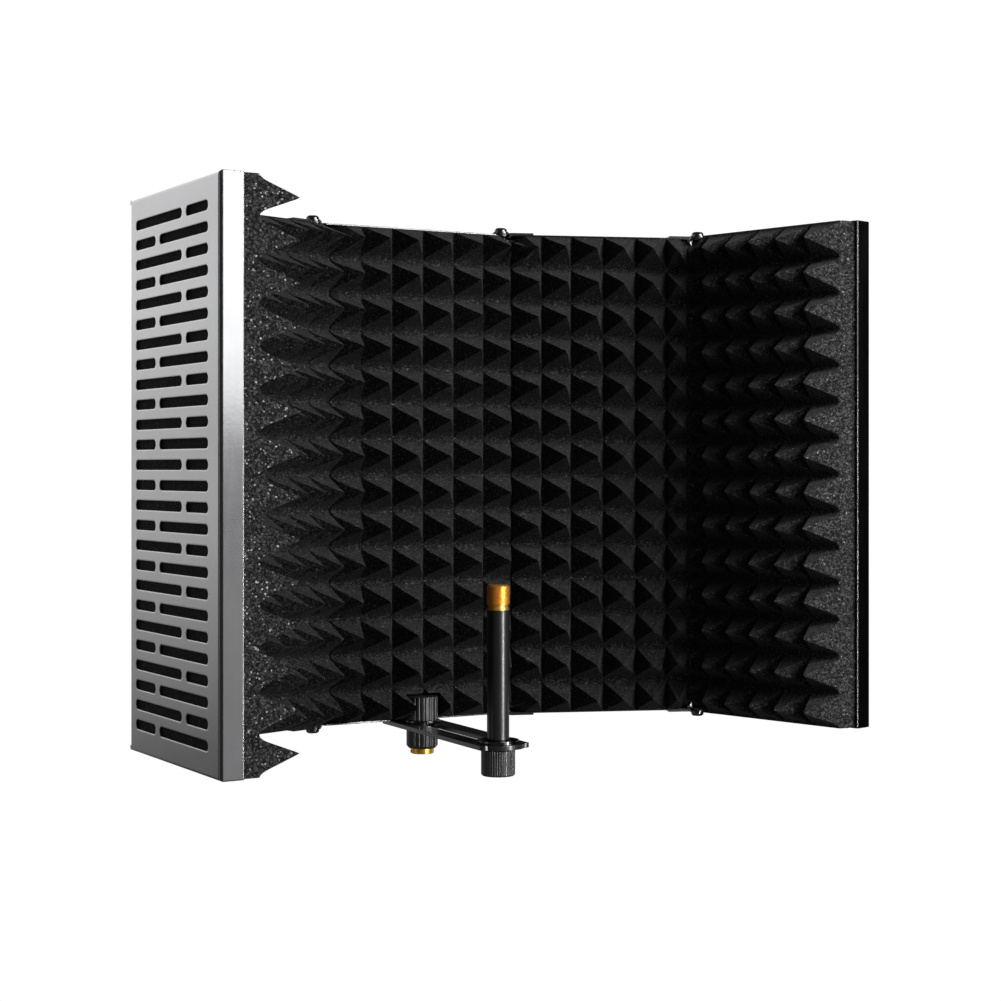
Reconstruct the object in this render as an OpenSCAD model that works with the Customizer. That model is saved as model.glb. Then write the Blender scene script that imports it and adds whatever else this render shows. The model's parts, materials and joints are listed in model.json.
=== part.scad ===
// Microphone isolation shield: five perforated sheet-steel panels on vertical hinge
// bolts, each lined with pyramid foam, on a slotted bar with a stand socket and a
// microphone post. Millimetres, +Z up. The centre panel runs along X and its foam
// faces -Y. The origin is the mouth of the stand socket.

/* [Panels] */
// Height of every panel
panel_h = 360; // [240:10:480]
// Distance between the hinge lines of one panel
panel_w = 153; // [140:1:170]
// Depth of the folded rim, from the outer face of the plate
rim_depth = 15.6; // [14.6:0.2:17]
// Thickness of the sheet steel
sheet = 1.2; // [1:0.1:1.5]
// Outside radius of the folded edges
bend_r = 2.6; // [1.6:0.2:3]
// Gap from a hinge line to the edge of the plate beside it
hinge_gap = 4; // [3.5:0.5:5]

/* [Fold at rest] */
// Fold of the left end panel against its neighbour, degrees
fold_left_outer = 73; // [0:1:80]
// Fold of the left inner panel against the centre panel, degrees
fold_left_inner = 20; // [0:1:60]
// Fold of the right inner panel against the centre panel, degrees
fold_right_inner = 19; // [0:1:60]
// Fold of the right end panel against its neighbour, degrees
fold_right_outer = 55; // [0:1:80]

/* [Perforation] */
// Height of one slot
slot_h = 6.4; // [4:0.2:8]
// Distance between two rows of slots
slot_pitch = 12.9; // [11:0.1:16]
// Rows of slots on a panel
slot_rows = 26; // [10:1:26]
// Length of a long slot
slot_long = 79; // [60:1:79]
// Length of a short slot
slot_short = 35; // [20:1:35]
// Gap between the two slots of a row
slot_gap = 6.6; // [5:0.2:8]
// Margin between the slots and the hinge side of an end panel
slot_margin = 11; // [9:0.5:14]

/* [Foam] */
// Depth from the outer plate to the valleys of the foam
foam_valley = 26; // [22:1:30]
// Depth from the outer plate to the tips of the foam
foam_tip = 52; // [44:1:56]
// Rows of pyramids over the height of a panel
foam_rows = 14; // [8:1:18]
// Distance between the columns of pyramids
foam_pitch = 25.5; // [22:0.5:28]

/* [Hinge bolts] */
// Radius of the hinge bolts, M5
bolt_r = 2.5; // [2.5:0.5:2.5]
// Radius of a bolt head
head_r = 4.8; // [4.5:0.1:5.2]
// Height of a bolt head
head_h = 3.2; // [2.5:0.1:4]
// Radius of a hinge washer
washer_r = 6; // [5.5:0.1:6.4]
// Thickness of the straps that reach over a hinge
strap_t = 1.4; // [1:0.1:2]

/* [Support bar] */
// Width of the support bar
bar_w = 37; // [32:1:42]
// Thickness of the support bar
bar_t = 3; // [2:0.5:4]
// Width of the slot in the bar
bar_slot = 10.2; // [10.2:0.2:12]
// Distance from the hinge lines of the centre panel forward to the stand socket
socket_y = 22; // [22:1:30]
// Distance from the stand socket forward to the microphone post
post_y = 117; // [90:1:120]

/* [Stand socket and post] */
// Radius of the clamping knob and of the socket body
knob_r = 11.4; // [11:0.1:12.5]
// Height of the socket body
socket_h = 15; // [15:1:22]
// Height of the clamping knob
knob_h = 17; // [14:1:22]
// Height of the brass ring under the socket body
ring_h = 4; // [4:0.5:6]
// Radius of the microphone post
post_r = 7.5; // [7:0.1:7.8]
// Height of the post above the bar, with its brass tip
post_h = 106; // [80:1:140]
// Height of the brass tip
tip_h = 17; // [15:1:20]
// Height of the nut under the post
nut_h = 17.6; // [14:0.2:19]

/* [Hidden] */
$fn = 48;

rim_y = -7;                           // inner edge of the rim, from the hinge line
plate_y = rim_depth + rim_y;          // outer face of a plate
valley_y = plate_y - foam_valley;
tip_y = plate_y - foam_tip;
tab_r = 6.6;                          // round end of a hinge tab
running = 0.06;                       // radial clearance of a hinge bolt in its tab
float_gap = 0.1;                      // clearance between sliding faces
lip = 5;                              // depth of the edge fold beside a hinge
mitre = 0.6;                          // clearance of the mitred corners
foam_end = hinge_gap + sheet + 0.4;   // foam pad starts here, from a hinge line
foam_free = sheet + 0.3;              // foam pad starts here, from a free edge
foam_low = sheet + 0.2;               // end pads, from the foot and the head of a panel
foam_low_inner = sheet + 1.6;         // the pads between, which stop short of the straps
foam_bevel = bend_r - sheet;          // a pad's back edges, clear of the rounded folds
row_pitch = panel_h / foam_rows;
end_tip = panel_w - 21;               // last column of tips of the right end pad
slot_field = slot_long + slot_gap + slot_short;

bar_z = ring_h + socket_h + float_gap; // underside of the bar
base_z = bar_z + bar_t;                // underside of the panels
bar_back = plate_y;                    // rear end of the bar, from the hinge lines
post_out = socket_y + post_y;
bar_front = post_out + bar_w / 2 - 0.5;
slot_back = 20;                        // centres of the ends of the bar's slot
slot_front = post_out + 6;
thread_r = 7.9375;                     // 5/8 in thread
stud_r = 4.7625;                       // 3/8 in thread
flange_screw_x = 12;
recess_back = 8;                       // back of the foam's recess for the knob

// Places a panel: 1 and 2 hang from the left hinge of the centre, 4 and 5 from the right
module at_panel(i) {
  left = -panel_w / 2;
  translate([0, socket_y, base_z])
    if (i == 3) translate([left, 0, 0]) children();
    else if (i == 2) translate([left, 0, 0]) rotate(fold_left_inner)
      translate([-panel_w, 0, 0]) children();
    else if (i == 1) translate([left, 0, 0]) rotate(fold_left_inner)
      translate([-panel_w, 0, 0]) rotate(fold_left_outer)
      translate([-panel_w, 0, 0]) children();
    else if (i == 4) translate([-left, 0, 0]) rotate(-fold_right_inner) children();
    else translate([-left, 0, 0]) rotate(-fold_right_inner)
      translate([panel_w, 0, 0]) rotate(-fold_right_outer) children();
}

module rounded_2d(x0, x1, y0, y1, r) {
  translate([x0, y0 + r]) square([x1 - x0, y1 - y0 - 2 * r]);
  translate([x0 + r, y0]) square([x1 - x0 - 2 * r, y1 - y0]);
  for (x = [x0 + r, x1 - r], y = [y0 + r, y1 - r]) translate([x, y]) circle(r);
}

// A block with its back edges rounded, from x0 to x1, grown inward by cut
module tray_block(x0, x1, cut, r) {
  intersection() {
    translate([0, 0, cut]) linear_extrude(panel_h - 2 * cut)
      rounded_2d(x0 + cut, x1 - cut, -40, plate_y - cut, r);
    translate([x0 + cut, 0, 0]) rotate([90, 0, 90]) linear_extrude(x1 - x0 - 2 * cut)
      rounded_2d(-40, plate_y - cut, cut, panel_h - cut, r);
  }
}

module slot_2d(x0, len, z) {
  translate([x0 + slot_h / 2, z - slot_h / 2]) square([len - slot_h, slot_h]);
  for (x = [x0 + slot_h / 2, x0 + len - slot_h / 2]) translate([x, z]) circle(slot_h / 2);
}

// Rows of one long and one short slot, changing sides from row to row
module perforation(x0, flip) {
  z_top = panel_h / 2 + (slot_rows - 1) * slot_pitch / 2;
  translate([0, plate_y + 1, 0]) rotate([90, 0, 0]) linear_extrude(sheet + 2)
    for (k = [0:slot_rows - 1]) {
      z = z_top - k * slot_pitch;
      long_first = (k % 2 == 0) != flip;
      if (long_first) {
        slot_2d(x0, slot_long, z);
        slot_2d(x0 + slot_long + slot_gap, slot_short, z);
      } else {
        slot_2d(x0, slot_short, z);
        slot_2d(x0 + slot_short + slot_gap, slot_long, z);
      }
    }
}

// What leaves a hinge corner free: side is 1 to the right of the hinge line, -1 to the left
module hinge_corner_2d(side, size, off) {
  polygon([[side * (off - 30), 0], [side * off, 0],
           [side * (off + size), -size], [side * (off - 30), -size]]);
}

module tab_2d(side, len) {
  circle(tab_r);
  polygon([[0, tab_r], [side * len, tab_r], [side * len, -tab_r],
           [side * (tab_r + mitre), -tab_r], [side * mitre, 0], [0, 0]]);
}

// left and right say what is at each side: 0 a free edge, 1 a hinge. An inner strap lies
// under the rim, on the first hinge line of panel 2.
module tray(left, right, straps, slots_x, flip, inner = false) {
  x0 = left ? hinge_gap : 0;
  x1 = panel_w - (right ? hinge_gap : 0);
  ends = [if (left) [0, 1, x0], if (right) [panel_w, -1, x1]];
  difference() {
    union() {
      difference() {
        tray_block(x0, x1, 0, bend_r);
        tray_block(x0, x1, sheet, bend_r - sheet);
        translate([-20, rim_y - 60, -1]) cube([panel_w + 40, 60, panel_h + 2]);
        for (e = ends) {
          translate([e[0], 0, 0]) {
            // mitred rim corners, lips beside the hinge, room for the nuts
            translate([0, 0, -1]) linear_extrude(panel_h + 2) hinge_corner_2d(e[1], 30, mitre);
            for (z = [-1, panel_h - 9]) translate([0, 0, z]) cylinder(r = 5.6, h = 10);
            if (straps) for (z = [-1, panel_h - 3]) translate([0, 0, z])
              cylinder(r = tab_r + 1, h = 4);
          }
          translate([e[2] - 1.5, rim_y - 1, sheet])
            cube([3, rim_depth - lip + 1, panel_h - 2 * sheet]);
        }
      }
      // lower tabs, flush with the rim
      if (!straps) for (e = ends, z = inner ? [0, panel_h - sheet + 0.2] : [0.2, panel_h - sheet])
        translate([e[0], 0, z]) linear_extrude(sheet - 0.2) tab_2d(e[1], 14);
    }
    for (e = ends) translate([e[0], 0, -1])
      cylinder(r = bolt_r + running, h = panel_h + 2);
    // the straps turn on the lower tabs with a little clearance
    if (!straps && !inner) for (e = ends, z = [-1, panel_h - 0.2])
      translate([e[0], 0, z]) cylinder(r = tab_r + 0.5, h = 1.2);
    if (!straps && inner) for (e = ends, z = [sheet - 0.2, panel_h - sheet - strap_t - 0.2])
      translate([e[0], 0, z]) cylinder(r = tab_r + 0.5, h = strap_t + 0.4);
    if (straps && inner) for (z = [sheet - 0.2, panel_h - sheet - strap_t - 0.2])
      translate([0, -tab_r - 0.4, z]) cube([7, 2 * tab_r + 0.8, strap_t + 0.4]);
    perforation(slots_x, flip);
  }
}

module shell_color() { color([0.46, 0.46, 0.47]) children(); }

module panel_shell_1() {
  shell_color() at_panel(1)
    tray(0, 1, false, panel_w - hinge_gap - slot_margin - slot_field, true, true);
}
module panel_shell_2() {
  shell_color() at_panel(2) tray(1, 1, true, (panel_w - slot_field) / 2, true, true);
}
module panel_shell_3() {
  shell_color() at_panel(3) difference() {
    tray(1, 1, false, (panel_w - slot_field) / 2, true);
    for (x = [-1, 1]) translate([panel_w / 2 + x * flange_screw_x, 0, -1])
      cylinder(r = bolt_r, h = 4);
  }
}
module panel_shell_4() {
  shell_color() at_panel(4) tray(1, 1, true, (panel_w - slot_field) / 2, true);
}
module panel_shell_5() {
  shell_color() at_panel(5) tray(1, 0, false, hinge_gap + slot_margin, false);
}

// Saw-tooth outline of the foam over one direction: the tips lie at first + k * pitch
function teeth(a, b, first, pitch) = [
  for (k = [-1:ceil((b - a) / pitch) + 1])
    each [[first + (k - 0.5) * pitch, valley_y], [first + k * pitch, tip_y]]
];
function clipped(p, a, b) = [for (q = p) if (q[0] > a && q[0] < b) q];
function height_at(x, first, pitch) =
  tip_y + (valley_y - tip_y) * 2 * abs((x - first) / pitch - round((x - first) / pitch));

module saw_2d(a, b, first, pitch, back) {
  inner = clipped(teeth(a, b, first, pitch), a, b);
  polygon(concat([[a + foam_bevel, back], [a, back - foam_bevel],
                  [a, height_at(a, first, pitch)]], inner,
                 [[b, height_at(b, first, pitch)], [b, back - foam_bevel],
                  [b - foam_bevel, back]]));
}

// Pyramids are where the saw-tooth bars of both directions cross
module foam(left, right, first, low = foam_low_inner) {
  x0 = left ? foam_end : foam_free;
  x1 = panel_w - (right ? foam_end : foam_free);
  back = plate_y - sheet - 0.2;
  difference() {
    intersection() {
      translate([0, 0, low]) linear_extrude(panel_h - 2 * low)
        saw_2d(x0, x1, first, foam_pitch, back);
      translate([x0 - 1, 0, 0]) rotate([90, 0, 90]) linear_extrude(x1 - x0 + 2)
        mirror([1, -1]) saw_2d(low, panel_h - low, row_pitch / 2, row_pitch, back);
    }
    if (left) translate([0, 0, -1]) linear_extrude(panel_h + 2) hinge_corner_2d(1, 60, 0.9);
    if (right) translate([panel_w, 0, -1]) linear_extrude(panel_h + 2)
      hinge_corner_2d(-1, 60, 0.9);
  }
}

module foam_color() { color([0.13, 0.13, 0.14]) children(); }

module foam_pad_1() {
  foam_color() at_panel(1) difference() {
    foam(0, 1, foam_free, foam_low);
    for (z = [-1, panel_h - foam_low_inner]) translate([panel_w, 0, z])
      cylinder(r = tab_r + 0.6, h = foam_low_inner + 1);
  }
}
module foam_pad_2() { foam_color() at_panel(2) foam(1, 1, foam_pitch / 2); }
module foam_pad_3() {
  foam_color() at_panel(3) difference() {
    foam(1, 1, foam_pitch / 2);
    // room for the clamping knob and for the nuts of the bar screws
    translate([panel_w / 2, 0, -1]) {
      translate([-knob_r - 3.6, -60, 0]) cube([2 * knob_r + 7.2, 60 - recess_back, 24]);
      for (x = [-1, 1]) translate([x * flange_screw_x, 0, 0]) cylinder(r = 5.4, h = 10);
    }
  }
}
module foam_pad_4() { foam_color() at_panel(4) foam(1, 1, foam_pitch / 2); }
// The right end pad stops with the flank of its last column of pyramids
module foam_pad_5() {
  slope = foam_pitch / 2 / (valley_y - tip_y);
  foam_color() at_panel(5) difference() {
    foam(1, 0, end_tip - foam_pitch * floor(end_tip / foam_pitch), foam_low);
    translate([0, 0, -1]) linear_extrude(panel_h + 2) polygon([[end_tip, tip_y - 1],
      [end_tip, tip_y], [end_tip - slope * tip_y, 0], [panel_w + 20, 0],
      [panel_w + 20, tip_y - 1]]);
  }
}

// Hinge hardware of panels 2 and 4, at both hinge lines, top and bottom.
// Each child is drawn pointing up from the face that it lies on.
module at_hinges(i, z, lines = [0, panel_w]) {
  at_panel(i) for (x = lines) {
    translate([x, 0, panel_h + z]) children();
    translate([x, 0, -z]) mirror([0, 0, 1]) children();
  }
}

module hinge_strap(i, x, side, z) {
  color([0.12, 0.12, 0.13]) at_panel(i) translate([x, 0, z]) linear_extrude(strap_t)
    difference() {
      tab_2d(side, 24);
      circle(bolt_r + 0.02);
    }
}
// the left end hinge has its straps under the rims and flush studs
module hinge_straps_2() {
  for (z = [sheet, panel_h - sheet - strap_t]) hinge_strap(2, 0, 1, z);
  for (z = [-strap_t, panel_h]) hinge_strap(2, panel_w, -1, z);
}
module hinge_straps_4() {
  for (z = [-strap_t, panel_h]) {
    hinge_strap(4, 0, 1, z);
    hinge_strap(4, panel_w, -1, z);
  }
}

// Pan head with a cross recess on a plain shank
module pan_bolt(shank) {
  difference() {
    rotate_extrude() polygon([[0, -shank], [bolt_r - 0.5, -shank], [bolt_r, 0.5 - shank],
      [bolt_r, 0], [head_r, 0], [head_r, head_h * 0.4], [head_r * 0.93, head_h * 0.7],
      [head_r * 0.72, head_h * 0.93], [head_r * 0.4, head_h], [0, head_h]]);
    for (a = [0, 90]) rotate(a) translate([-2.1, -0.45, head_h - 1.5]) cube([4.2, 0.9, 2]);
  }
}
module flat_ring(outer, inner, t) {
  difference() {
    cylinder(r = outer, h = t);
    translate([0, 0, -1]) cylinder(r = inner, h = t + 2);
  }
}
module hex_nut(flats, bore, h) {
  difference() {
    intersection() {
      cylinder(r = flats / sqrt(3), h = h, $fn = 6);
      rotate_extrude() polygon([[0, 0], [flats / 2 - 0.2, 0], [flats / sqrt(3), 0.7],
        [flats / sqrt(3), h - 0.7], [flats / 2 - 0.2, h], [0, h]]);
    }
    translate([0, 0, -1]) cylinder(r = bore, h = h + 2);
  }
}
hinge_washer_t = 1;
hinge_nut_h = 4.7;
module hinge_bolts(i, lines) {
  color([0.2, 0.2, 0.21]) at_hinges(i, strap_t + hinge_washer_t, lines)
    pan_bolt(strap_t + hinge_washer_t + sheet + hinge_nut_h + 1.2);
}
module hinge_bolts_2() {
  hinge_bolts(2, [panel_w]);
  stud = sheet + strap_t + hinge_nut_h + 1.2;
  color([0.2, 0.2, 0.21]) at_hinges(2, -stud - 0.1, [0]) rotate_extrude()
    polygon([[0, 0], [bolt_r - 0.5, 0], [bolt_r, 0.5], [bolt_r, stud - 0.3],
             [bolt_r - 0.3, stud], [0, stud]]);
}
module hinge_bolts_4() { hinge_bolts(4, [0, panel_w]); }
module hinge_washers(i, lines) {
  color([0.3, 0.3, 0.31]) at_hinges(i, strap_t, lines)
    flat_ring(washer_r, bolt_r + 0.02, hinge_washer_t);
}
module hinge_washers_2() { hinge_washers(2, [panel_w]); }
module hinge_washers_4() { hinge_washers(4, [0, panel_w]); }
module hinge_nuts(i, depth, lines) {
  color([0.75, 0.75, 0.77]) at_hinges(i, -depth - float_gap - hinge_nut_h, lines)
    hex_nut(8, bolt_r + 0.02, hinge_nut_h);
}
module hinge_nuts_2() {
  hinge_nuts(2, sheet, [panel_w]);
  hinge_nuts(2, sheet + strap_t, [0]);
}
module hinge_nuts_4() { hinge_nuts(4, sheet, [0, panel_w]); }

// The bar lies under the centre panel and runs forward along -Y
module support_bar() {
  color([0.1, 0.1, 0.11]) translate([0, socket_y, bar_z]) difference() {
    linear_extrude(bar_t) difference() {
      union() {
        rounded_2d(-bar_w / 2, bar_w / 2, -bar_front + bar_w / 2 - 12, bar_back, 3);
        translate([-bar_w / 2, -bar_front + bar_w / 2])
          square([bar_w, bar_front - bar_w / 2]);
        translate([0, -bar_front + bar_w / 2]) circle(bar_w / 2, $fn = 96);
      }
      translate([-bar_slot / 2, -slot_front]) square([bar_slot, slot_front - slot_back]);
      for (y = [slot_back, slot_front]) translate([0, -y]) circle(bar_slot / 2);
    }
    for (x = [-1, 1]) translate([x * flange_screw_x, 0, 0]) {
      translate([0, 0, -1]) cylinder(r = bolt_r, h = bar_t + 2);
      translate([0, 0, -0.01]) cylinder(r1 = bolt_r + 2.1, r2 = bolt_r, h = 2.1);
    }
  }
}
// Countersunk screws, flush with the underside of the bar
module at_bar_screws(z) {
  for (x = [-1, 1]) translate([x * flange_screw_x, socket_y, z]) children();
}
module bar_screws() {
  shank = bar_t + sheet + hinge_washer_t + hinge_nut_h + 1.2;
  color([0.2, 0.2, 0.21]) at_bar_screws(bar_z) difference() {
    rotate_extrude() polygon([[0, 0.05], [bolt_r + 1.9, 0.05], [bolt_r, 1.95],
      [bolt_r, shank - 0.5], [bolt_r - 0.5, shank], [0, shank]]);
    for (a = [0, 90]) rotate(a) translate([-2.1, -0.45, -1]) cube([4.2, 0.9, 2.2]);
  }
}
module bar_screw_washers() {
  color([0.3, 0.3, 0.31]) at_bar_screws(base_z + sheet) flat_ring(5, bolt_r, hinge_washer_t);
}
module bar_nuts() {
  color([0.75, 0.75, 0.77]) at_bar_screws(base_z + sheet + hinge_washer_t)
    hex_nut(8, bolt_r, hinge_nut_h);
}

// A round grip with count flutes, standing on z = 0
module grip(r, h, count, flute, low_edge, high_edge) {
  difference() {
    rotate_extrude() polygon([[0, 0], [r - low_edge, 0], [r, low_edge * 1.2],
      [r, h - high_edge], [r - high_edge, h], [0, h]]);
    for (k = [0:count - 1]) rotate((k + 0.5) * 360 / count)
      translate([r + flute * 0.55, 0, -1]) cylinder(r = flute, h = h + 2, $fn = 24);
  }
}

// Socket body: threaded from below for the brass adapter
module socket_body() {
  color([0.15, 0.15, 0.16]) translate([0, 0, ring_h]) difference() {
    grip(knob_r, socket_h, 22, 1, 1.6, 0.3);
    translate([0, 0, -1]) cylinder(r = thread_r, h = 13);
    translate([0, 0, 11]) cylinder(r = stud_r, h = socket_h);
  }
}
// Brass adapter: 5/8 in thread outside, 3/8 in thread inside, with a coin slot
module thread_adapter() {
  color([0.85, 0.6, 0.25]) difference() {
    union() {
      rotate_extrude() polygon([[0, 0], [8.1, 0], [8.5, 0.4], [8.5, ring_h], [0, ring_h]]);
      cylinder(r = thread_r, h = ring_h + 11);
    }
    translate([0, 0, -1]) cylinder(r = stud_r, h = ring_h + 13);
    translate([-10, -1.1, -1]) cube([20, 2.2, 3.6]);
  }
}
module clamp_stud() {
  color([0.35, 0.35, 0.36]) translate([0, 0, ring_h + 12])
    cylinder(r = stud_r, h = socket_h - 12 + bar_t + 14);
}
washer_z = base_z + float_gap;
module clamp_washer() {
  color([0.55, 0.55, 0.56]) translate([0, 0, washer_z]) flat_ring(12.8, stud_r + 0.3, 2);
}
module clamp_knob() {
  color([0.15, 0.15, 0.16]) translate([0, 0, washer_z + 2 + float_gap]) difference() {
    grip(knob_r, knob_h, 22, 1, 0.3, 0.6);
    translate([0, 0, -1]) cylinder(r = stud_r + running, h = knob_h - 2.5);
  }
}

// Microphone post, on a washer over the bar, with a nut below
module at_post(z) { translate([0, socket_y - post_out, z]) children(); }
module post_washer() {
  color([0.55, 0.55, 0.56]) at_post(base_z + float_gap) flat_ring(14, stud_r + 0.3, 2);
}
module mic_post() {
  color([0.13, 0.13, 0.14]) at_post(base_z + float_gap + 2) difference() {
    rotate_extrude() polygon([[0, 0], [post_r - 0.4, 0], [post_r, 0.4],
      [post_r, post_h - tip_h - 2.1], [0, post_h - tip_h - 2.1]]);
    translate([0, 0, -1]) cylinder(r = stud_r, h = 16);
    translate([0, 0, post_h - tip_h - 12]) cylinder(r = 5, h = 20);
  }
}
module post_stud() {
  color([0.35, 0.35, 0.36]) at_post(bar_z - nut_h + 4)
    cylinder(r = stud_r, h = nut_h - 4 + bar_t + float_gap + 2 + 14);
}
// Brass tip: 5/8 in thread over a plain neck, pressed into the post
module post_tip() {
  tip_z = base_z + post_h - tip_h;
  color([0.85, 0.6, 0.25]) at_post(tip_z) rotate_extrude() polygon([
    [0, -8], [5, -8], [5, 0], [7.3, 0], [7.3, 2], [6.7, 2], [6.7, 3.4], [thread_r - 0.5, 3.4],
    [thread_r, 3.9], [thread_r, tip_h - 0.8], [thread_r - 0.8, tip_h], [0, tip_h]]);
}
module post_nut_washer() {
  color([0.55, 0.55, 0.56]) at_post(bar_z - float_gap - 1) flat_ring(11.8, stud_r + 0.3, 1);
}
module post_nut() {
  color([0.15, 0.15, 0.16]) at_post(bar_z - 2 * float_gap - 1 - nut_h) difference() {
    grip(11.5, nut_h, 44, 0.55, 0.8, 0.5);
    translate([0, 0, 2.5]) cylinder(r = stud_r + running, h = nut_h);
  }
}

panel_shell_1();
panel_shell_2();
panel_shell_3();
panel_shell_4();
panel_shell_5();
foam_pad_1();
foam_pad_2();
foam_pad_3();
foam_pad_4();
foam_pad_5();
hinge_straps_2();
hinge_straps_4();
hinge_bolts_2();
hinge_bolts_4();
hinge_washers_2();
hinge_washers_4();
hinge_nuts_2();
hinge_nuts_4();
support_bar();
bar_screws();
bar_screw_washers();
bar_nuts();
socket_body();
thread_adapter();
clamp_stud();
clamp_knob();
clamp_washer();
mic_post();
post_stud();
post_tip();
post_washer();
post_nut();
post_nut_washer();
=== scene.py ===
"""Looks of the microphone isolation shield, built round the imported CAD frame."""
import json
import math

import bmesh
import bpy
import numpy as np
from mathutils import Matrix, Vector


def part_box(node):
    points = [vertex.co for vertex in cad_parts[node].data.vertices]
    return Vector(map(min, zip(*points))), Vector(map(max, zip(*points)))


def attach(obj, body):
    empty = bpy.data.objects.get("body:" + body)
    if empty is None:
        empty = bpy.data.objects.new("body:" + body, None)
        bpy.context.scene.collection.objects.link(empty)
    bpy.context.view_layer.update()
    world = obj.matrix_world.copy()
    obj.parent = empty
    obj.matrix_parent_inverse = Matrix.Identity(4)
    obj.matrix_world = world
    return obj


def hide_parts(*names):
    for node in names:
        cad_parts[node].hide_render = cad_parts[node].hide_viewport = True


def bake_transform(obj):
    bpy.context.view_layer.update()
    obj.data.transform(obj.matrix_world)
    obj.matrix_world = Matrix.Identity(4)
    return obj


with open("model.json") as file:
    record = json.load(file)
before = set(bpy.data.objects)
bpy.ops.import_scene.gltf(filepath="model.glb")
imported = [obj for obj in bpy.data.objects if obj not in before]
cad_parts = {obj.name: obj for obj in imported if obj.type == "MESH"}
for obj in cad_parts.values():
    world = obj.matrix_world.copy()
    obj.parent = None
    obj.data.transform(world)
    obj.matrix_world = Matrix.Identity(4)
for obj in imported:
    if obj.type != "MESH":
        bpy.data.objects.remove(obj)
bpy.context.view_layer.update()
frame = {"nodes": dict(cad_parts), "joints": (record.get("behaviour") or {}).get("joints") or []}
NODES = frame["nodes"]
JOINTS = {j["name"]: j for j in frame["joints"]}
MM = 0.001

# ---------------------------------------------------------------- camera
CAMERA_AT = (-0.606, -1.2506, 0.2063)
CAMERA_HEADING = -28.2
CAMERA_LENS = 68.8
CAMERA_SHIFT_Y = -0.032

# ---------------------------------------------------------------- panels
PANEL_H = 0.360
PANEL_W = 0.153
FOLD = {1: 73.0, 2: 20.0, 4: 19.0, 5: 55.0}   # fold at each panel's hinge towards the centre
BASE_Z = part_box("panel_shell_3")[0].z
BODY = {1: "left_end_panel", 2: "left_panel", 3: "centre_panel", 4: "right_panel",
        5: "right_end_panel"}


def turned(deg):
    return Matrix.Rotation(math.radians(deg), 4, "Z")


def panel_frames():
    """Each panel's own axes: x along the panel from its left hinge line, y out, z up from its foot."""
    def at(name):
        p = JOINTS[name]["pos_m"]
        return Matrix.Translation((p[0], p[1], BASE_Z))
    back = Matrix.Translation((-PANEL_W, 0, 0))
    left2, left1 = FOLD[2], FOLD[2] + FOLD[1]
    return {
        3: at("left_hinge"),
        2: at("left_hinge") @ turned(left2) @ back,
        1: at("left_end_hinge") @ turned(left1) @ back,
        4: at("right_hinge") @ turned(-FOLD[4]),
        5: at("right_end_hinge") @ turned(-FOLD[4] - FOLD[5]),
    }


PANEL_AT = panel_frames()


# ---------------------------------------------------------------- shader helpers
class Shader:
    """A Principled material with short calls for its nodes."""

    def __init__(self, name):
        self.mat = bpy.data.materials.new(name)
        self.mat.use_nodes = True
        self.tree = self.mat.node_tree
        self.bsdf = self.tree.nodes["Principled BSDF"]
        self.coords = self.node("ShaderNodeTexCoord").outputs["Object"]

    def node(self, kind, **props):
        n = self.tree.nodes.new(kind)
        for k, v in props.items():
            setattr(n, k, v)
        return n

    def link(self, a, b):
        self.tree.links.new(a, b)

    def set(self, **values):
        for k, v in values.items():
            self.bsdf.inputs[k.replace("_", " ")].default_value = v

    def noise(self, scale, detail=2.0, rough=0.5, stretch=None):
        n = self.node("ShaderNodeTexNoise")
        n.inputs["Scale"].default_value = scale
        n.inputs["Detail"].default_value = detail
        n.inputs["Roughness"].default_value = rough
        source = self.coords
        if stretch:
            m = self.node("ShaderNodeMapping")
            m.inputs["Scale"].default_value = stretch
            self.link(self.coords, m.inputs["Vector"])
            source = m.outputs["Vector"]
        self.link(source, n.inputs["Vector"])
        return n.outputs["Fac"]

    def cells(self, scale, feature="F1", randomness=1.0):
        n = self.node("ShaderNodeTexVoronoi", feature=feature)
        n.inputs["Scale"].default_value = scale
        n.inputs["Randomness"].default_value = randomness
        self.link(self.coords, n.inputs["Vector"])
        return n

    def ramp(self, source, stops):
        n = self.node("ShaderNodeValToRGB")
        while len(n.color_ramp.elements) < len(stops):
            n.color_ramp.elements.new(0.5)
        for e, (at, c) in zip(n.color_ramp.elements, stops):
            e.position = at
            e.color = (*c, 1.0) if isinstance(c, tuple) else (c, c, c, 1.0)
        self.link(source, n.inputs["Fac"])
        return n.outputs["Color"]

    def mix(self, fac, a, b, blend="MIX"):
        n = self.node("ShaderNodeMix", data_type="RGBA", blend_type=blend)
        for i, v in ((0, fac), (6, a), (7, b)):
            if isinstance(v, (int, float)):
                n.inputs[i].default_value = v if i == 0 else (v, v, v, 1)
            elif isinstance(v, tuple):
                n.inputs[i].default_value = (*v, 1)
            else:
                self.link(v, n.inputs[i])
        return n.outputs[2]

    def bump(self, height, distance, strength=1.0, base=None):
        n = self.node("ShaderNodeBump")
        n.inputs["Distance"].default_value = distance
        n.inputs["Strength"].default_value = strength
        self.link(height, n.inputs["Height"])
        if base is not None:
            self.link(base, n.inputs["Normal"])
        return n.outputs["Normal"]

    def soft_edges(self, radius):
        n = self.node("ShaderNodeBevel", samples=6)
        n.inputs["Radius"].default_value = radius
        return n.outputs["Normal"]


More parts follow.
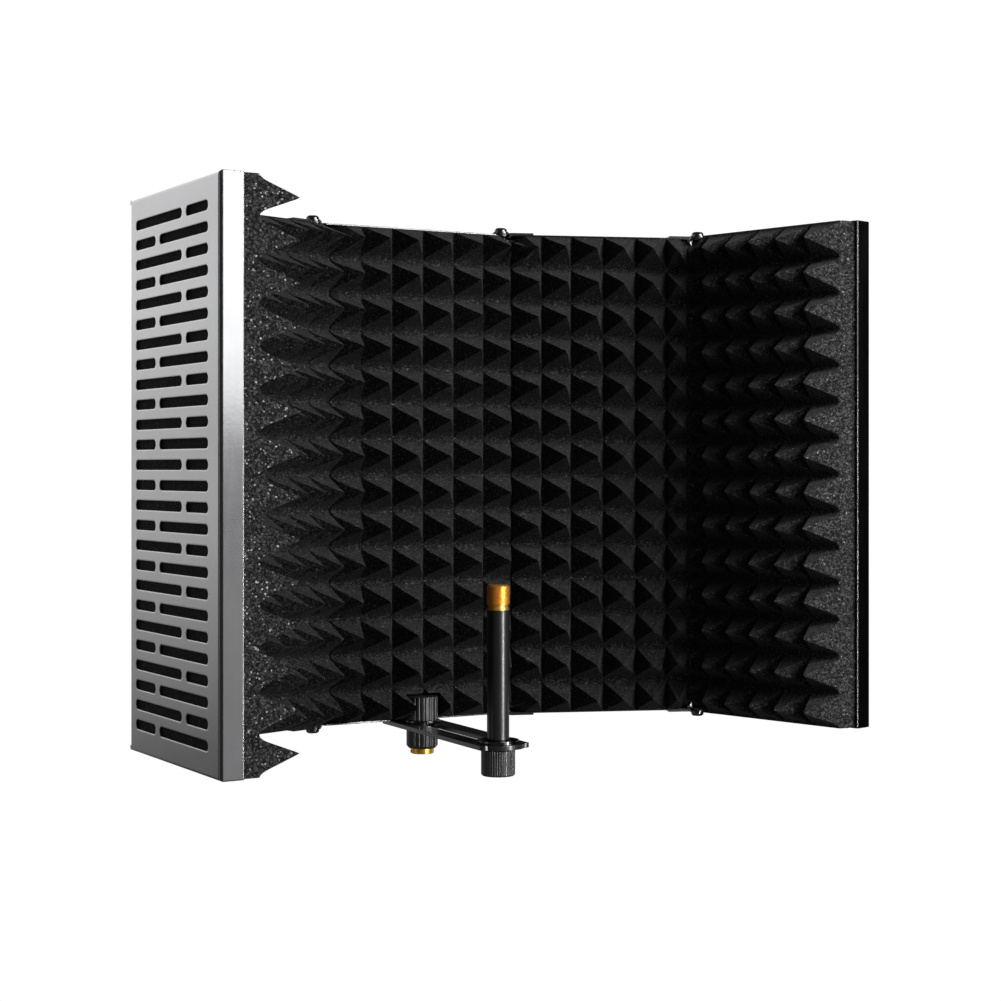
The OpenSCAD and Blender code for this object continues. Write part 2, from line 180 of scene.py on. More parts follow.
def foam_material(name, tones, level=1.0):
    """Charcoal open-cell foam: every cell has its own tone, and a few are painted glints, far brighter
    cells. level makes lighter or darker copies of the foam: painted light or painted shade.
    """
    s = Shader(name)
    cell = s.cells(1000.0)
    struts = s.cells(900.0, "DISTANCE_TO_EDGE")
    grain = s.noise(1150.0, 2.0, 0.6)
    cloud = s.noise(45.0, 3.0, 0.55)
    parts = s.node("ShaderNodeSeparateColor")
    s.link(cell.outputs["Color"], parts.inputs[0])
    tone = s.ramp(parts.outputs[0], [(at, v * level) for at, v in tones])
    hole = s.ramp(cell.outputs["Distance"], [(0.1, 1.0), (0.5, 0.85), (0.9, 0.55)])
    tone = s.mix(1.0, tone, hole, "MULTIPLY")
    tone = s.mix(1.0, tone, s.ramp(grain, [(0.3, 0.55), (0.7, 1.45)]), "MULTIPLY")
    tone = s.mix(1.0, tone, s.ramp(cloud, [(0.3, 0.86), (0.7, 1.14)]), "MULTIPLY")
    s.link(tone, s.bsdf.inputs["Base Color"])
    s.set(Roughness=0.95, Specular_IOR_Level=0.1, Sheen_Weight=0.04, Sheen_Roughness=0.6)
    n = s.bump(struts.outputs["Distance"], 0.0004, 0.4)
    n = s.bump(grain, 0.0003, 0.5, n)
    s.link(n, s.bsdf.inputs["Normal"])
    return s.mat


def metal_material(name, tone, rough, metallic=1.0, wear=0.05, edge=0.0, peel=0.0, coat=0.0):
    """Painted, plated or bare metal: slight clouding, fine handling marks, softened edges."""
    s = Shader(name)
    tone = tone if isinstance(tone, tuple) else (tone,) * 3
    cloud = s.noise(38.0, 4.0, 0.6)
    marks = s.noise(260.0, 2.0, 0.5, (1.0, 1.0, 0.12))
    low, high = (tuple(c * (1 - wear) for c in tone), tuple(min(1, c * (1 + wear)) for c in tone))
    s.link(s.ramp(cloud, [(0.3, low), (0.7, high)]), s.bsdf.inputs["Base Color"])
    rough_map = s.mix(0.5, s.ramp(cloud, [(0.25, rough * 0.85), (0.75, rough * 1.15)]),
                      s.ramp(marks, [(0.35, rough * 0.9), (0.65, rough * 1.12)]))
    s.link(rough_map, s.bsdf.inputs["Roughness"])
    s.set(Metallic=metallic, Coat_Weight=coat, Coat_Roughness=0.08)
    normal = s.soft_edges(edge) if edge else None
    if peel:
        normal = s.bump(s.noise(420.0, 2.0, 0.45), peel, 0.6, normal)
    if normal is not None:
        s.link(normal, s.bsdf.inputs["Normal"])
    return s.mat


# the brightest stops of each table are painted glints: a few cells far lighter than the rest, standing
# in for light caught by the foam
FLANK_TONES_AND_GLINTS = [(0.0, 0.003), (0.3, 0.011), (0.7, 0.042), (0.985, 0.100), (0.992, 0.18), (1.0, 0.30)]
SAWN_TONES_AND_GLINTS = [(0.0, 0.003), (0.3, 0.009), (0.7, 0.037), (0.968, 0.085), (0.976, 0.26), (1.0, 0.52)]

FOAM = foam_material("foam_open_cell", FLANK_TONES_AND_GLINTS, 0.50)
# the end pads' flanks are darker and lighter copies of the foam: painted shade on the left end pad,
# deep in its fold, and painted light on the right end pad
FOAM_PAINTED_SHADE_LEFT_END = foam_material("foam_open_cell_left_end_painted_shade", FLANK_TONES_AND_GLINTS, 0.32)
FOAM_PAINTED_LIGHT_RIGHT_END = foam_material("foam_open_cell_right_end_painted_light", FLANK_TONES_AND_GLINTS, 0.72)
# the sawn ends are lighter copies of the foam, painted light; the left one, seen square on, also gets
# the stronger painted glints
FOAM_SAWN_PAINTED_LIGHT = {1: foam_material("foam_sawn_cell_left_painted_light", SAWN_TONES_AND_GLINTS),
             5: foam_material("foam_sawn_cell_right_painted_light", FLANK_TONES_AND_GLINTS, 1.08)}
PANEL = metal_material("panel_lacquered_metal", (0.185, 0.186, 0.19), 0.15, wear=0.04, edge=0.0013,
                       peel=0.000015)
BLACK = metal_material("black_coated_metal", 0.011, 0.31, metallic=0.0, wear=0.15, edge=0.0004,
                       peel=0.00003, coat=0.2)
DARK_CHROME = metal_material("dark_chrome", 0.11, 0.14, wear=0.08, edge=0.0003)
BRIGHT = metal_material("bright_plated_steel", 0.62, 0.16, wear=0.05, edge=0.0003)
KNOB = metal_material("black_knurled_metal", 0.075, 0.34, metallic=0.85, wear=0.12, edge=0.0002,
                      peel=0.00003)
STUD = metal_material("stud_steel", 0.35, 0.3, wear=0.1)
BRASS = metal_material("brass", (1.0, 0.50, 0.11), 0.32, metallic=0.85, wear=0.05, edge=0.0002)

MATERIAL_OF = {
    "panel_shell": PANEL, "hinge_straps": BLACK, "hinge_bolts": DARK_CHROME,
    "hinge_washers": DARK_CHROME, "hinge_nuts": DARK_CHROME, "support_bar": BLACK,
    "bar_screws": DARK_CHROME, "bar_screw_washers": DARK_CHROME, "bar_nuts": BRIGHT,
    "socket_body": KNOB, "thread_adapter": BRASS, "clamp_stud": STUD, "clamp_knob": KNOB,
    "clamp_washer": DARK_CHROME, "mic_post": BLACK, "post_stud": STUD, "post_tip": BRASS,
    "post_washer": DARK_CHROME, "post_nut": KNOB, "post_nut_washer": DARK_CHROME,
}
for name, obj in NODES.items():
    key = name if name in MATERIAL_OF else name.rsplit("_", 1)[0]
    if key in MATERIAL_OF:
        obj.data.materials.clear()
        obj.data.materials.append(MATERIAL_OF[key])


# ---------------------------------------------------------------- foam
FOAM_VALLEY = 0.0174       # depth of the valleys inward from the hinge lines
FOAM_RISE = 0.0260         # height of a pyramid
FOAM_BACK = -0.0072        # the pad's back, on the plate
FOAM_PITCH = 0.0255
FOAM_ROWS = 14
ROW_PITCH = PANEL_H / FOAM_ROWS
END_TIP = 0.132            # last column of tips of the right end pad
FREE_EDGE = 0.0015         # a pad starts here from a panel's free edge
FOOT_INNER, FOOT_END = 0.0028, 0.0014   # foot and head of the pads, from the panel's own
RIM_D, FOOT_PROUD = 0.0074, 0.0003      # past the rim an end pad bulges out over it
CORNER_W, CORNER_DROP = 0.010, 0.0046   # the corners beside the hinges lie lower
CHANNEL_W, CHANNEL_D = 0.0056, 0.0055   # room for the bolts beside a hinge line
ROW_ROUND, COLUMN_ROUND = 0.38, 0.05    # how much of a flank is rounded into its valley
BEND_BACK = 0.0010         # the fold pieces start here, in front of a slab that stays on the plate, and ends before the hinge
SLAB_FRONT, SLAB_END = 0.0090, 0.0117   # that stays on the plate, and ends before the hinge
LEVELS = (0.0, 0.03, 0.1, 0.2, 0.36, 0.55, 0.75, 0.9, 1.0)


def flank(t, rounding):
    """Rise from valley (t=0) to tip (t=1): a straight flank with a rounded foot."""
    m = 1 / (1 - rounding / 2)
    return np.where(t < rounding, m * t * t / (2 * rounding), 1 - m * (1 - t))


def flank_inverse(rise, rounding):
    m = 1 / (1 - rounding / 2)
    foot = m * rounding / 2
    return math.sqrt(rise * 2 * rounding / m) if rise < foot else 1 - (1 - rise) / m


COLUMN_STEPS = [flank_inverse(v, COLUMN_ROUND) for v in LEVELS]
ROW_STEPS = [flank_inverse(v, ROW_ROUND) for v in LEVELS]


class Pad:
    """One foam pad in its panel's own axes. Tips lie at first + k * pitch."""

    def __init__(self, panel, left, right, first, shifts, tip_shifts, seed):
        """left, right: angles of the walls against the neighbours, 0 at a free edge.
        shifts: how far the valleys, a pitch apart, are pushed along the panel, in mm.
        tip_shifts: the same for the columns of tips."""
        self.panel, self.first = panel, first
        self.left, self.right = math.radians(left), math.radians(right)
        self.end = 0 in (left, right)
        at_walls = FOAM_VALLEY * np.tan([self.left, -self.right])
        self.shifts = np.array([at_walls[0], *(v * MM for v in shifts), at_walls[1]])
        self.shift_at = np.linspace(0, PANEL_W, len(self.shifts))
        self.tip_shifts = np.array(tip_shifts) * MM
        self.tip_at = first + FOAM_PITCH * np.arange(len(tip_shifts))
        self.low = FOOT_PROUD if self.end else FOOT_INNER
        self.back_low = FOOT_END if self.end else FOOT_INNER
        rng = np.random.RandomState(seed)
        self.lift = 1 + rng.uniform(-0.015, 0.02, (12, FOAM_ROWS))
        self.lean = rng.uniform(-0.0006, 0.0006, (2, 12, FOAM_ROWS))

    def lines(self, x0, x1):
        """Grid lines across: valleys, tips and steps between them, from x0 to x1."""
        half = FOAM_PITCH / 2
        xs = {x0, x1}
        k0 = math.floor((x0 - self.first) / half) - 1
        for k in range(k0, k0 + int((x1 - x0) / half) + 4):
            a = self.first + k * half
            for t in COLUMN_STEPS:
                x = a + (t if k % 2 else 1 - t) * half   # odd k: from a valley up to a tip
                if x0 + 0.0004 < x < x1 - 0.0004:
                    xs.add(round(x, 7))
        if self.left and x0 == 0:
            xs |= {CHANNEL_W, CHANNEL_W + 0.0003, CORNER_W - 0.0015, CORNER_W + 0.0015}
        if self.right and x1 == PANEL_W:
            xs |= {PANEL_W - v for v in (CHANNEL_W, CHANNEL_W + 0.0003, CORNER_W - 0.0015,
                                         CORNER_W + 0.0015)}
        return np.array(sorted(xs))

    def rows(self):
        half = ROW_PITCH / 2
        zs = {self.low, PANEL_H - self.low}
        for r in range(FOAM_ROWS):
            for t in ROW_STEPS:
                zs |= {round(r * ROW_PITCH + t * half, 7), round((r + 1) * ROW_PITCH - t * half, 7)}
        keep = [z for z in zs if self.low + 0.0003 < z < PANEL_H - self.low - 0.0003]
        return np.array(sorted(keep + [self.low, PANEL_H - self.low]))

    def depth(self, x, z):
        """Depth of the foam's face, and the sideways lean of each pyramid's tip."""
        u = (x - self.first) / FOAM_PITCH
        v = z / ROW_PITCH - 0.5
        cu, cv = np.round(u), np.clip(np.round(v), 0, FOAM_ROWS - 1)
        across = flank(np.clip(1 - 2 * np.abs(u - cu), 0, 1), COLUMN_ROUND)
        tip = self.first + cu * FOAM_PITCH
        # a column cut by a fold is pressed low between its neighbours
        cut = ((tip < 0.009) & (self.left > 0)) | ((tip > PANEL_W - 0.009) & (self.right > 0))
        across = np.where(cut, 0.45 * across, across)
        if self.left and not self.right:
            across = np.where(x > END_TIP, 1 - (x - END_TIP) / (FOAM_PITCH / 2), across)
        s = np.minimum(across, flank(np.clip(1 - 2 * np.abs(v - cv), 0, 1), ROW_ROUND))
        soft = np.where(s > 0.95, 0.95 + 0.05 * (1 - np.exp(-(s - 0.95) / 0.05)), s)
        i, j = (cu.astype(int) + 2) % 12, cv.astype(int)
        rise = soft * FOAM_RISE * np.where(s > 0, self.lift[i, j], 1)
        s = np.clip(s, 0, 1)
        return FOAM_VALLEY + rise, self.lean[0, i, j] * s, self.lean[1, i, j] * s

    def squeezed(self, x, d):
        """Where a point at x goes along the panel when the folds press the pads together."""
        low = np.interp(x, self.shift_at, self.shifts)
        high = np.interp(x, self.tip_at, self.tip_shifts)
        foot = np.clip(d / FOAM_VALLEY, 0, 1)
        out = x + low * foot + (high - low) * np.clip((d - FOAM_VALLEY) / FOAM_RISE, 0, 1)
        inside = np.maximum(d, 0)
        gap = 0.00015
        if self.left:
            out = np.maximum(out, inside * math.tan(self.left) + gap + 0.03 * x)
        if self.right:
            out = np.minimum(out, PANEL_W - inside * math.tan(self.right) - gap
                             - 0.03 * (PANEL_W - x))
        return out

    def placed_z(self, x, z):
        """Heights, with the first and last rows pressed in beside the hinges."""
        near = np.zeros_like(x)
        for there, dist in ((self.left, x), (self.right, PANEL_W - x)):
            if there:
                near = np.maximum(near, np.clip((CORNER_W + 0.0015 - dist) / 0.003, 0, 1))
        drop = near * CORNER_DROP
        foot = np.clip(1 - (z - self.low) / (ROW_PITCH - self.low), 0, 1)
        head = np.clip(1 - (PANEL_H - self.low - z) / (ROW_PITCH - self.low), 0, 1)
        return z + drop * (foot - head)

    def block(self, x0, x1, back=None):
        """Vertices and faces of the pad between x0 and x1, a closed solid."""
        back = FOAM_BACK if back is None else back
        xs, zs = self.lines(x0, x1), self.rows()
        nx, nz = len(xs), len(zs)
        gx, gz = np.meshgrid(xs, zs, indexing="ij")
        d, lx, lz = self.depth(gx, gz)
        edge = np.zeros_like(gx, bool)
        edge[0, :] = edge[-1, :] = edge[:, 0] = edge[:, -1] = True
        lx, lz = np.where(edge, 0, lx), np.where(edge, 0, lz)
        pz = self.placed_z(gx, gz)
        proud = self.back_low - self.low          # the bulge over the rim, at the end pads
        inset = proud * (1 - np.clip((d - RIM_D) / 0.0006, 0, 1))
        pz[:, 0] += inset[:, 0]
        pz[:, -1] -= inset[:, -1]
        front = np.stack([self.squeezed(gx, d) + lx, -d, pz + lz], -1).reshape(-1, 3)
        faces = []
        mid_x, mid_z = (xs[:-1] + xs[1:]) / 2, (zs[:-1] + zs[1:]) / 2
        up_x = ((mid_x - self.first) / FOAM_PITCH) % 1 > 0.5      # rising towards a tip
        up_z = (mid_z / ROW_PITCH) % 1 < 0.5
        for i in range(nx - 1):
            for j in range(nz - 1):
                a, b = i * nz + j, (i + 1) * nz + j
                c, e = b + 1, a + 1
                if up_x[i] == up_z[j]:
                    faces += [(a, b, c), (a, c, e)]
                else:
                    faces += [(a, b, e), (b, c, e)]
        # back: all rows at both ends, only foot and head between
        channel = ((xs < CHANNEL_W + 0.0001) & (self.left > 0)
                   | (xs > PANEL_W - CHANNEL_W - 0.0001) & (self.right > 0))
        back_d = np.where(channel, CHANNEL_D, back)
        back_x = self.squeezed(xs, back_d)
        verts = list(map(tuple, front))
        columns, feet, heads = [], [], []
        for i in range(nx):
            rows = range(nz) if i in (0, nx - 1) else (0, nz - 1)
            columns.append([len(verts) + k for k in range(len(rows))])
            z_back = self.placed_z(np.full(nz, xs[i]), zs)
            z_back[0] += proud
            z_back[-1] -= proud
            verts += [(back_x[i], -back_d[i], z_back[j]) for j in rows]
            # the bulge over the rim: two more points on the way from back to front
            mids = []
            for z, way in ((z_back[0], -1), (z_back[-1], 1)):
                mids.append([])
                if proud and d[i, 0] > RIM_D + 0.0007:
                    for dd, extra in ((RIM_D, 0), (RIM_D + 0.0006, proud)):
                        mids[-1].append(len(verts))
                        verts.append((self.squeezed(xs[i], np.array(dd)), -dd, z + way * extra))
            feet.append(mids[0])
            heads.append(mids[1])
        for i in range(nx - 1):
            p, q = columns[i], columns[i + 1]
            faces.append(tuple(p + q[::-1]))
            for mids, f, b in ((feet, 0, 0), (heads, nz - 1, -1)):
                s0 = [p[b]] + mids[i] + [i * nz + f]
                s1 = [q[b]] + mids[i + 1] + [(i + 1) * nz + f]
                if len(s0) == len(s1):
                    faces += [(s0[k], s0[k + 1], s1[k + 1], s1[k]) for k in range(len(s0) - 1)]
                else:
                    faces.append(tuple(s0 + s1[::-1]))
        for i in (0, nx - 1):
            for j in range(nz - 1):
                f = [i * nz + j, i * nz + j + 1]
                if j == nz - 2:
                    f += heads[i][::-1]
                f += [columns[i][j + 1], columns[i][j]]
                if j == 0:
                    f += feet[i]
                faces.append(tuple(f))
        return verts, faces


def make_object(name, parts, material, smooth_deg=None):
    """parts: (matrix, vertices, faces) lists joined into one mesh object in the row frame."""
    verts, faces = [], []
    for m, vs, fs in parts:
        n = len(verts)
        verts += [tuple(m @ Vector(v)) for v in vs]
        faces += [tuple(n + i for i in f) for f in fs]
    mesh = bpy.data.meshes.new(name)
    mesh.from_pydata(verts, [], faces)
    bm = bmesh.new()
    bm.from_mesh(mesh)
    bmesh.ops.recalc_face_normals(bm, faces=bm.faces)
    bm.to_mesh(mesh)
    bm.free()
    if smooth_deg:
        mesh.shade_smooth()
        mesh.set_sharp_from_angle(angle=math.radians(smooth_deg))
    mesh.materials.append(material)
    obj = bpy.data.objects.new(name, mesh)
    bpy.context.scene.collection.objects.link(obj)
    return obj


# the creases lie a little to the right of the folds' middles, where the left end pad pushes them
CREASE = {1: (24.0, 49.0), 2: (1.0, 19.0), 3: (3.3, 15.7), 4: (27.5, 27.5)}
HALF_PITCH = FOAM_PITCH / 2
PADS = {
    1: Pad(1, 0, CREASE[1][0], FREE_EDGE, [-1.3, -2.6, -3.9, -5.1, -6.4],
           [0, -1.8, -3.5, -5.3, -6.2, -7.0], 11),
    2: Pad(2, CREASE[1][1], CREASE[2][0], HALF_PITCH, [21.0, 19.5, 17.0, 11.5, 5.5],
           [38, 27, 24, 21, 11, 3.3], 12),
    3: Pad(3, CREASE[2][1], CREASE[3][0], HALF_PITCH, [4.4, 3.8, 3.1, 2.3, 1.4],
           [9, 3.1, 0.4, 0, 0, -2], 13),
    4: Pad(4, CREASE[3][1], CREASE[4][0], HALF_PITCH, [2.8, -0.4, -1.2, -1.6, -3.2],
           [9, 4.5, 2.3, -4, -7.3, -14], 14),
    5: Pad(5, CREASE[4][1], 0, END_TIP - 5 * FOAM_PITCH, [7.6, 6.0, 4.0, 2.2, 0.8],
           [12, 10.2, 6.3, 2.8, 0.6, 0.6], 15),
}
PADS[1].lift[2] *= 1.045       # the sawn column of the left end pad stands a little higher
# a pad's own part rides on its panel; what is nearer a hinge goes into a separate fold piece
OWN_SPAN = {
    1: (FREE_EDGE, FREE_EDGE + 3.5 * FOAM_PITCH),
    2: (2 * FOAM_PITCH, 4 * FOAM_PITCH),
    3: (2 * FOAM_PITCH, 4 * FOAM_PITCH),
    4: (2 * FOAM_PITCH, 4 * FOAM_PITCH),
    5: (END_TIP - 2.5 * FOAM_PITCH, PANEL_W - FREE_EDGE),
}


KNOB_SIDE, KNOB_BEHIND, KNOB_ABOVE = 0.0022, 0.004, 0.0018   # room left round the knob


def cut_box(obj, low, high):
    """Cuts a box out of obj, with exact edges."""
    bm = bmesh.new()
    bmesh.ops.create_cube(bm, size=1.0)
    low, high = Vector(low), Vector(high)
    size, mid = high - low, (high + low) / 2
    for v in bm.verts:
        v.co = Vector([v.co[k] * size[k] + mid[k] for k in range(3)])
    mesh = bpy.data.meshes.new("cutter")
    bm.to_mesh(mesh)
    bm.free()
    cutter = bpy.data.objects.new("cutter", mesh)
    bpy.context.scene.collection.objects.link(cutter)
    mod = obj.modifiers.new("cut", "BOOLEAN")
    mod.operation, mod.solver, mod.object = "DIFFERENCE", "EXACT", cutter
    dg = bpy.context.evaluated_depsgraph_get()
    obj.data = bpy.data.meshes.new_from_object(obj.evaluated_get(dg))
    obj.modifiers.clear()
    bpy.data.objects.remove(cutter)


def give_sawn_end_painted_light(obj, panel, material):
    """Gives the sawn end of an end pad its lighter copy of the foam, painted light."""
    obj.data.materials.append(material)
    back, along = panel.inverted(), panel.to_3x3() @ Vector((1, 0, 0))
    for face in obj.data.polygons:
        x = (back @ face.center).x
        if (x < FREE_EDGE + 0.0001 or x > END_TIP + 0.0004) and abs(face.normal.dot(along)) > 0.85:
            face.material_index = 1


for k, pad in PADS.items():
    # the left end pad's flanks carry painted shade, the right end pad's painted light
    flanks = {1: FOAM_PAINTED_SHADE_LEFT_END, 5: FOAM_PAINTED_LIGHT_RIGHT_END}.get(k, FOAM)
    body = make_object(f"foam_{k}", [(PANEL_AT[k], *pad.block(*OWN_SPAN[k]))], flanks, 28)
    if pad.end:
        give_sawn_end_painted_light(body, PANEL_AT[k], FOAM_SAWN_PAINTED_LIGHT[k])
    if k == 3:
        knob_low, knob_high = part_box("clamp_knob")
        cut_box(body, (knob_low.x - KNOB_SIDE, -0.1, 0),
                (knob_high.x + KNOB_SIDE, knob_high.y + KNOB_BEHIND, knob_high.z + KNOB_ABOVE))
    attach(body, BODY[k])
    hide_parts(f"foam_pad_{k}")


def slab(x0, x1):
    """A plain box of a pad's foam along the plate, under the fold piece."""
    low = FOOT_INNER + 0.0003
    corners = [(x, -d, z) for x in (x0, x1) for d in (FOAM_BACK, SLAB_FRONT)
               for z in (low, PANEL_H - low)]
    faces = [(0, 1, 3, 2), (4, 6, 7, 5), (0, 4, 5, 1), (2, 3, 7, 6), (0, 2, 6, 4), (1, 5, 7, 3)]
    return corners, faces


for k, pad in PADS.items():
    first, last = OWN_SPAN[k]
    ends = [(SLAB_END, first)] if pad.left else []
    ends += [(last, PANEL_W - SLAB_END)] if pad.right else []
    backing = make_object(f"foam_backing_{k}", [(PANEL_AT[k], *slab(*e)) for e in ends], FOAM)
    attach(backing, BODY[k])
    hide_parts(f"foam_pad_{k}")


def reach(pad, x, hinge_x, half):
    """How far the seam with the pad's own part lies from the hinge, along the bend."""
    seam = pad.squeezed(np.array([x]), np.array([FOAM_VALLEY]))[0]
    return abs(seam - hinge_x) * math.cos(half) - FOAM_VALLEY * math.sin(half)


# the four folds: the foam between pad k and pad k + 1, each side set in its own panel's axes
for k in range(1, len(PADS)):
    a, b = PADS[k], PADS[k + 1]
    piece = make_object(
        f"foam_fold_{k}",
        [(PANEL_AT[k], *a.block(OWN_SPAN[k][1], PANEL_W, BEND_BACK)),
         (PANEL_AT[k + 1], *b.block(0, OWN_SPAN[k + 1][0], BEND_BACK))], FOAM, 28)
    half = (a.right + b.left) / 2
    before = reach(a, OWN_SPAN[k][1], PANEL_W, half)
    after = reach(b, OWN_SPAN[k + 1][0], 0, half)
    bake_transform(piece)
    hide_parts(f"foam_pad_{k}", f"foam_pad_{k + 1}")


# ---------------------------------------------------------------- brass thread tip
def revolved(name, profile, centre, material, turns=72):
    """Solid of revolution about a vertical axis; profile is (radius, z) from the foot up."""
    verts, faces = [], []
    rings = len(profile)
    for r, z in profile:
        for k in range(turns):
            a = 2 * math.pi * k / turns
            verts.append((centre[0] + r * math.cos(a), centre[1] + r * math.sin(a), z))
    for i in range(rings - 1):
        for k in range(turns):
            n = (k + 1) % turns
            faces.append((i * turns + k, i * turns + n, (i + 1) * turns + n, (i + 1) * turns + k))
    faces.append(tuple(range(turns))[::-1])
    faces.append(tuple((rings - 1) * turns + k for k in range(turns)))
    return make_object(name, [(Matrix(), verts, faces)], material, 32)


THREAD_PITCH = 0.0254 / 27
THREAD_CUT, THREAD_LENGTH, THREAD_END = 0.00052, 0.0131, 0.0009


def thread(centre, major, top):
    """The 27-per-inch thread round the post's brass tip, up to its chamfered end."""
    turns, steps = 72, 6
    foot = top - THREAD_LENGTH
    verts, faces = [], []
    count = int((top - THREAD_END - foot) / THREAD_PITCH * steps)
    for i in range(count + 1):
        for k in range(turns):
            a = 2 * math.pi * k / turns
            z = min(foot + (i / steps + k / turns) * THREAD_PITCH, top - THREAD_END)
            wave = abs(((i / steps) % 1) * 2 - 1)
            r = major - THREAD_CUT * (1 - wave)
            verts.append((centre.x + r * math.cos(a), centre.y + r * math.sin(a), z))
    for i in range(count):
        for k in range(turns):
            n = (k + 1) % turns
            up = 0 if k + 1 < turns else steps
            a, b = i * turns + k, (i + up) * turns + n
            c, d = (i + 1 + up) * turns + n, (i + 1) * turns + k
            if max(b, c) < len(verts):
                faces.append((a, b, c, d))
    return verts, faces


def post_tip():
    low_corner, high_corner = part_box("post_tip")
    c, r = (low_corner + high_corner) / 2, (high_corner.x - low_corner.x) / 2
    low, top = low_corner.z, high_corner.z
    verts, faces = thread(c, r, top)
    tip = make_object("brass_thread", [(Matrix(), verts, faces)], BRASS, 40)
    collar_z = top - 0.017
    core = r - 0.00045
    body = revolved("brass_core", [
        (0.0049, low), (0.0049, collar_z), (0.0070, collar_z), (0.0073, collar_z + 0.0003),
        (0.0073, collar_z + 0.0017), (0.0070, collar_z + 0.0020), (0.0067, collar_z + 0.0021),
        (0.0067, collar_z + 0.0032), (core, collar_z + 0.0037), (core, top - 0.0010),
        (core - 0.0004, top - 0.0004), (core - 0.0009, top)], c, BRASS)
    for piece in (tip, body):
        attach(piece, "mic_post")
        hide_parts("post_tip")


post_tip()


# ---------------------------------------------------------------- stage
def stage_plane(name, size, at, facing, material, seen=False, mirror_only=False):
    """A flat card of the set, centred at a point and facing another."""
    mesh = bpy.data.meshes.new(name)
    w, h = size[0] / 2, size[1] / 2
    mesh.from_pydata([(-w, -h, 0), (w, -h, 0), (w, h, 0), (-w, h, 0)], [], [(0, 1, 2, 3)])
    mesh.materials.append(material)
    obj = bpy.data.objects.new(name, mesh)
    bpy.context.scene.collection.objects.link(obj)
    obj.location = at
    direction = Vector(facing) - Vector(at)
    obj.rotation_euler = direction.to_track_quat("Z", "Y").to_euler()
    obj.visible_camera = seen
    obj.visible_diffuse = not mirror_only
    return obj


def card_material(name, stops, low, high):
    """A glowing card whose brightness changes with height, from low to high in metres."""
    mat = bpy.data.materials.new(name)
    mat.use_nodes = True
    t = mat.node_tree
    t.nodes.clear()
    out = t.nodes.new("ShaderNodeOutputMaterial")
    glow = t.nodes.new("ShaderNodeEmission")
    geo = t.nodes.new("ShaderNodeNewGeometry")
    xyz = t.nodes.new("ShaderNodeSeparateXYZ")
    fit = t.nodes.new("ShaderNodeMapRange")
    fit.inputs["From Min"].default_value, fit.inputs["From Max"].default_value = low, high
    ramp = t.nodes.new("ShaderNodeValToRGB")
    top = max(v for _, v in stops)
    while len(ramp.color_ramp.elements) < len(stops):
        ramp.color_ramp.elements.new(0.5)
    for e, (at, v) in zip(ramp.color_ramp.elements, stops):
        e.position, e.color = at, (v / top, v / top, v / top, 1)
    glow.inputs["Strength"].default_value = top
    t.links.new(geo.outputs["Position"], xyz.inputs[0])
    t.links.new(xyz.outputs["Z"], fit.inputs["Value"])
    t.links.new(fit.outputs[0], ramp.inputs["Fac"])
    t.links.new(ramp.outputs["Color"], glow.inputs["Color"])
    t.links.new(glow.outputs[0], out.inputs["Surface"])
    return mat


def glow_material(name, level):
    """A card or floor that glows evenly."""
    mat = bpy.data.materials.new(name)
    mat.use_nodes = True
    t = mat.node_tree
    t.nodes.clear()
    out = t.nodes.new("ShaderNodeOutputMaterial")
    glow = t.nodes.new("ShaderNodeEmission")
    glow.inputs["Strength"].default_value = level
    t.links.new(glow.outputs[0], out.inputs["Surface"])
    return mat


def plain_material(name, tone, rough):
    s = Shader(name)
    s.link(s.ramp(s.noise(1.2, 2.0), [(0.3, tone * 0.985), (0.7, tone)]), s.bsdf.inputs["Base Color"])
    s.set(Roughness=rough, Specular_IOR_Level=0.2)
    return s.mat


def soft_light(name, at, aim, size, power):
    data = bpy.data.lights.new(name, "AREA")
    data.shape, data.size, data.size_y, data.energy = "RECTANGLE", size[0], size[1], power
    obj = bpy.data.objects.new(name, data)
    bpy.context.scene.collection.objects.link(obj)
    obj.location = at
    obj.rotation_euler = (Vector(aim) - Vector(at)).to_track_quat("-Z", "Y").to_euler()
    obj.visible_camera = False
    return obj


def camera_only(obj):
    """Seen by the camera, but lights and mirrors nothing."""
    obj.visible_diffuse = obj.visible_glossy = obj.visible_shadow = False


def build_world():
    """A white surround for the camera, and a dim one for the object's own light."""
    world = bpy.context.scene.world or bpy.data.worlds.new("world")
    bpy.context.scene.world = world
    world.use_nodes = True
    t = world.node_tree
    white = t.nodes["Background"]
    white.inputs["Color"].default_value = (1, 1, 1, 1)
    white.inputs["Strength"].default_value = 1.05
    dim = t.nodes.new("ShaderNodeBackground")
    dim.inputs["Color"].default_value = (1, 1, 1, 1)
    dim.inputs["Strength"].default_value = AMBIENT
    path, mix = t.nodes.new("ShaderNodeLightPath"), t.nodes.new("ShaderNodeMixShader")
    t.links.new(path.outputs["Is Camera Ray"], mix.inputs["Fac"])
    t.links.new(dim.outputs[0], mix.inputs[1])
    t.links.new(white.outputs[0], mix.inputs[2])
    t.links.new(mix.outputs[0], t.nodes["World Output"].inputs["Surface"])


AMBIENT = 0.08
FLOOR_GLOW, LOW_GLOW = 1.02, 0.12
SIDE_TONES = [(0.0, 0.5), (1.0, 1.1)]
KEY_POWER = 75
STRIP_POWER = 3.0
BACK_TONES = [(0.0, 0.34), (0.115, 0.60), (0.2, 0.77), (0.285, 0.92), (0.37, 1.21), (0.45, 1.30),
              (0.54, 1.37), (0.62, 1.50), (0.70, 1.70), (0.79, 1.95), (0.96, 1.90), (1.0, 2.1)]
KEY_TONES = [(0.0, 0.9), (0.25, 0.42), (0.48, 0.35), (0.6, 3.5), (0.72, 5.2), (1.0, 5.6)]


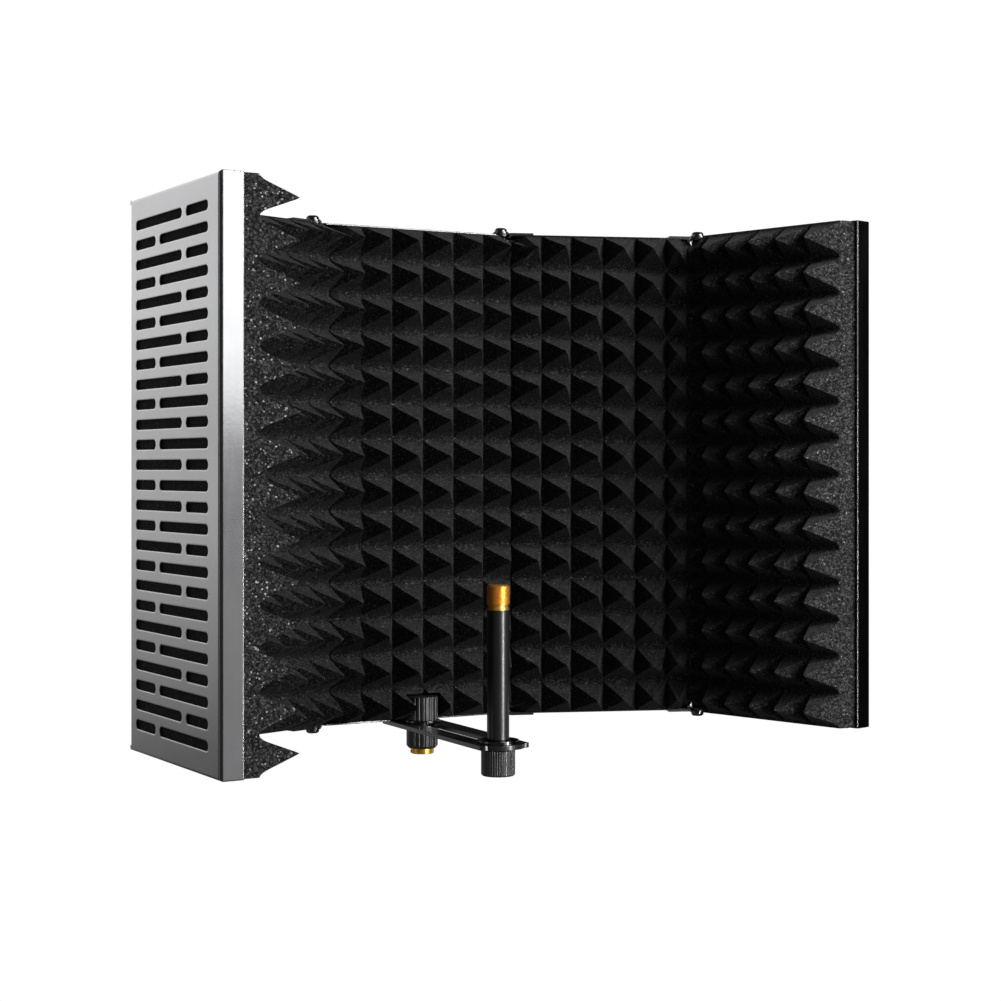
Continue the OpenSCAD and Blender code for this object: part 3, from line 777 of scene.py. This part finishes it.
def build_stage():
    floor = stage_plane("floor", (16, 16), (0, 0, -0.5), (0, 0, 1),
                        glow_material("pale_floor", FLOOR_GLOW), seen=True)
    floor.rotation_euler = (0, 0, 0)
    camera_only(floor)
    build_world()
    # graded card behind, seen in the plates
    stage_plane("card_back", (3.0, 1.9), (-0.3, 1.55, 0.35), (-0.3, 0, 0.35),
                card_material("card_graded", BACK_TONES, -0.25, 0.65), mirror_only=True)
    stage_plane("card_left", (0.7, 1.5), (-2.0, 0.1, 0.3), (0, 0.05, 0.25),
                card_material("card_side", SIDE_TONES, -0.3, 0.8), mirror_only=True)
    stage_plane("card_right", (1.0, 1.5), (1.9, 0.55, 0.3), (0, 0.05, 0.25),
                card_material("card_side_right", SIDE_TONES, -0.3, 0.8), mirror_only=True)
    # key card to the right of the camera, seen in the left rim, and the key light above it
    stage_plane("card_key", (1.0, 1.8), (0.62, -1.89, 0.45), (-0.22, -0.18, 0.45),
                card_material("card_bright", KEY_TONES, 0.19, 0.36))
    stage_plane("flag_right", (0.5, 1.2), (1.15, -0.51, 0.2), (0.25, -0.2, 0.2),
                plain_material("black_flag", 0.008, 0.95), mirror_only=True)
    stage_plane("card_low", (2.4, 2.4), (0, -0.6, -0.48), (0, -0.6, 1),
                glow_material("card_floor_glow", LOW_GLOW))
    soft_light("key_light", (0.98, -1.76, 0.96), (0.0, -0.05, 0.2), (1.0, 0.9), KEY_POWER)
    strip = soft_light("strip_light", (0.27, -0.66, 0.09), (0, -0.118, 0.09), (0.07, 0.36), STRIP_POWER)
    strip.visible_diffuse = False


def build_camera():
    data = bpy.data.cameras.new("camera")
    data.lens, data.sensor_width, data.shift_y = CAMERA_LENS, 36.0, CAMERA_SHIFT_Y
    obj = bpy.data.objects.new("camera", data)
    bpy.context.scene.collection.objects.link(obj)
    obj.location = CAMERA_AT
    obj.rotation_euler = (math.radians(90), 0, math.radians(CAMERA_HEADING))
    bpy.context.scene.camera = obj


build_stage()
build_camera()
bpy.context.scene.view_settings.view_transform = "Standard"
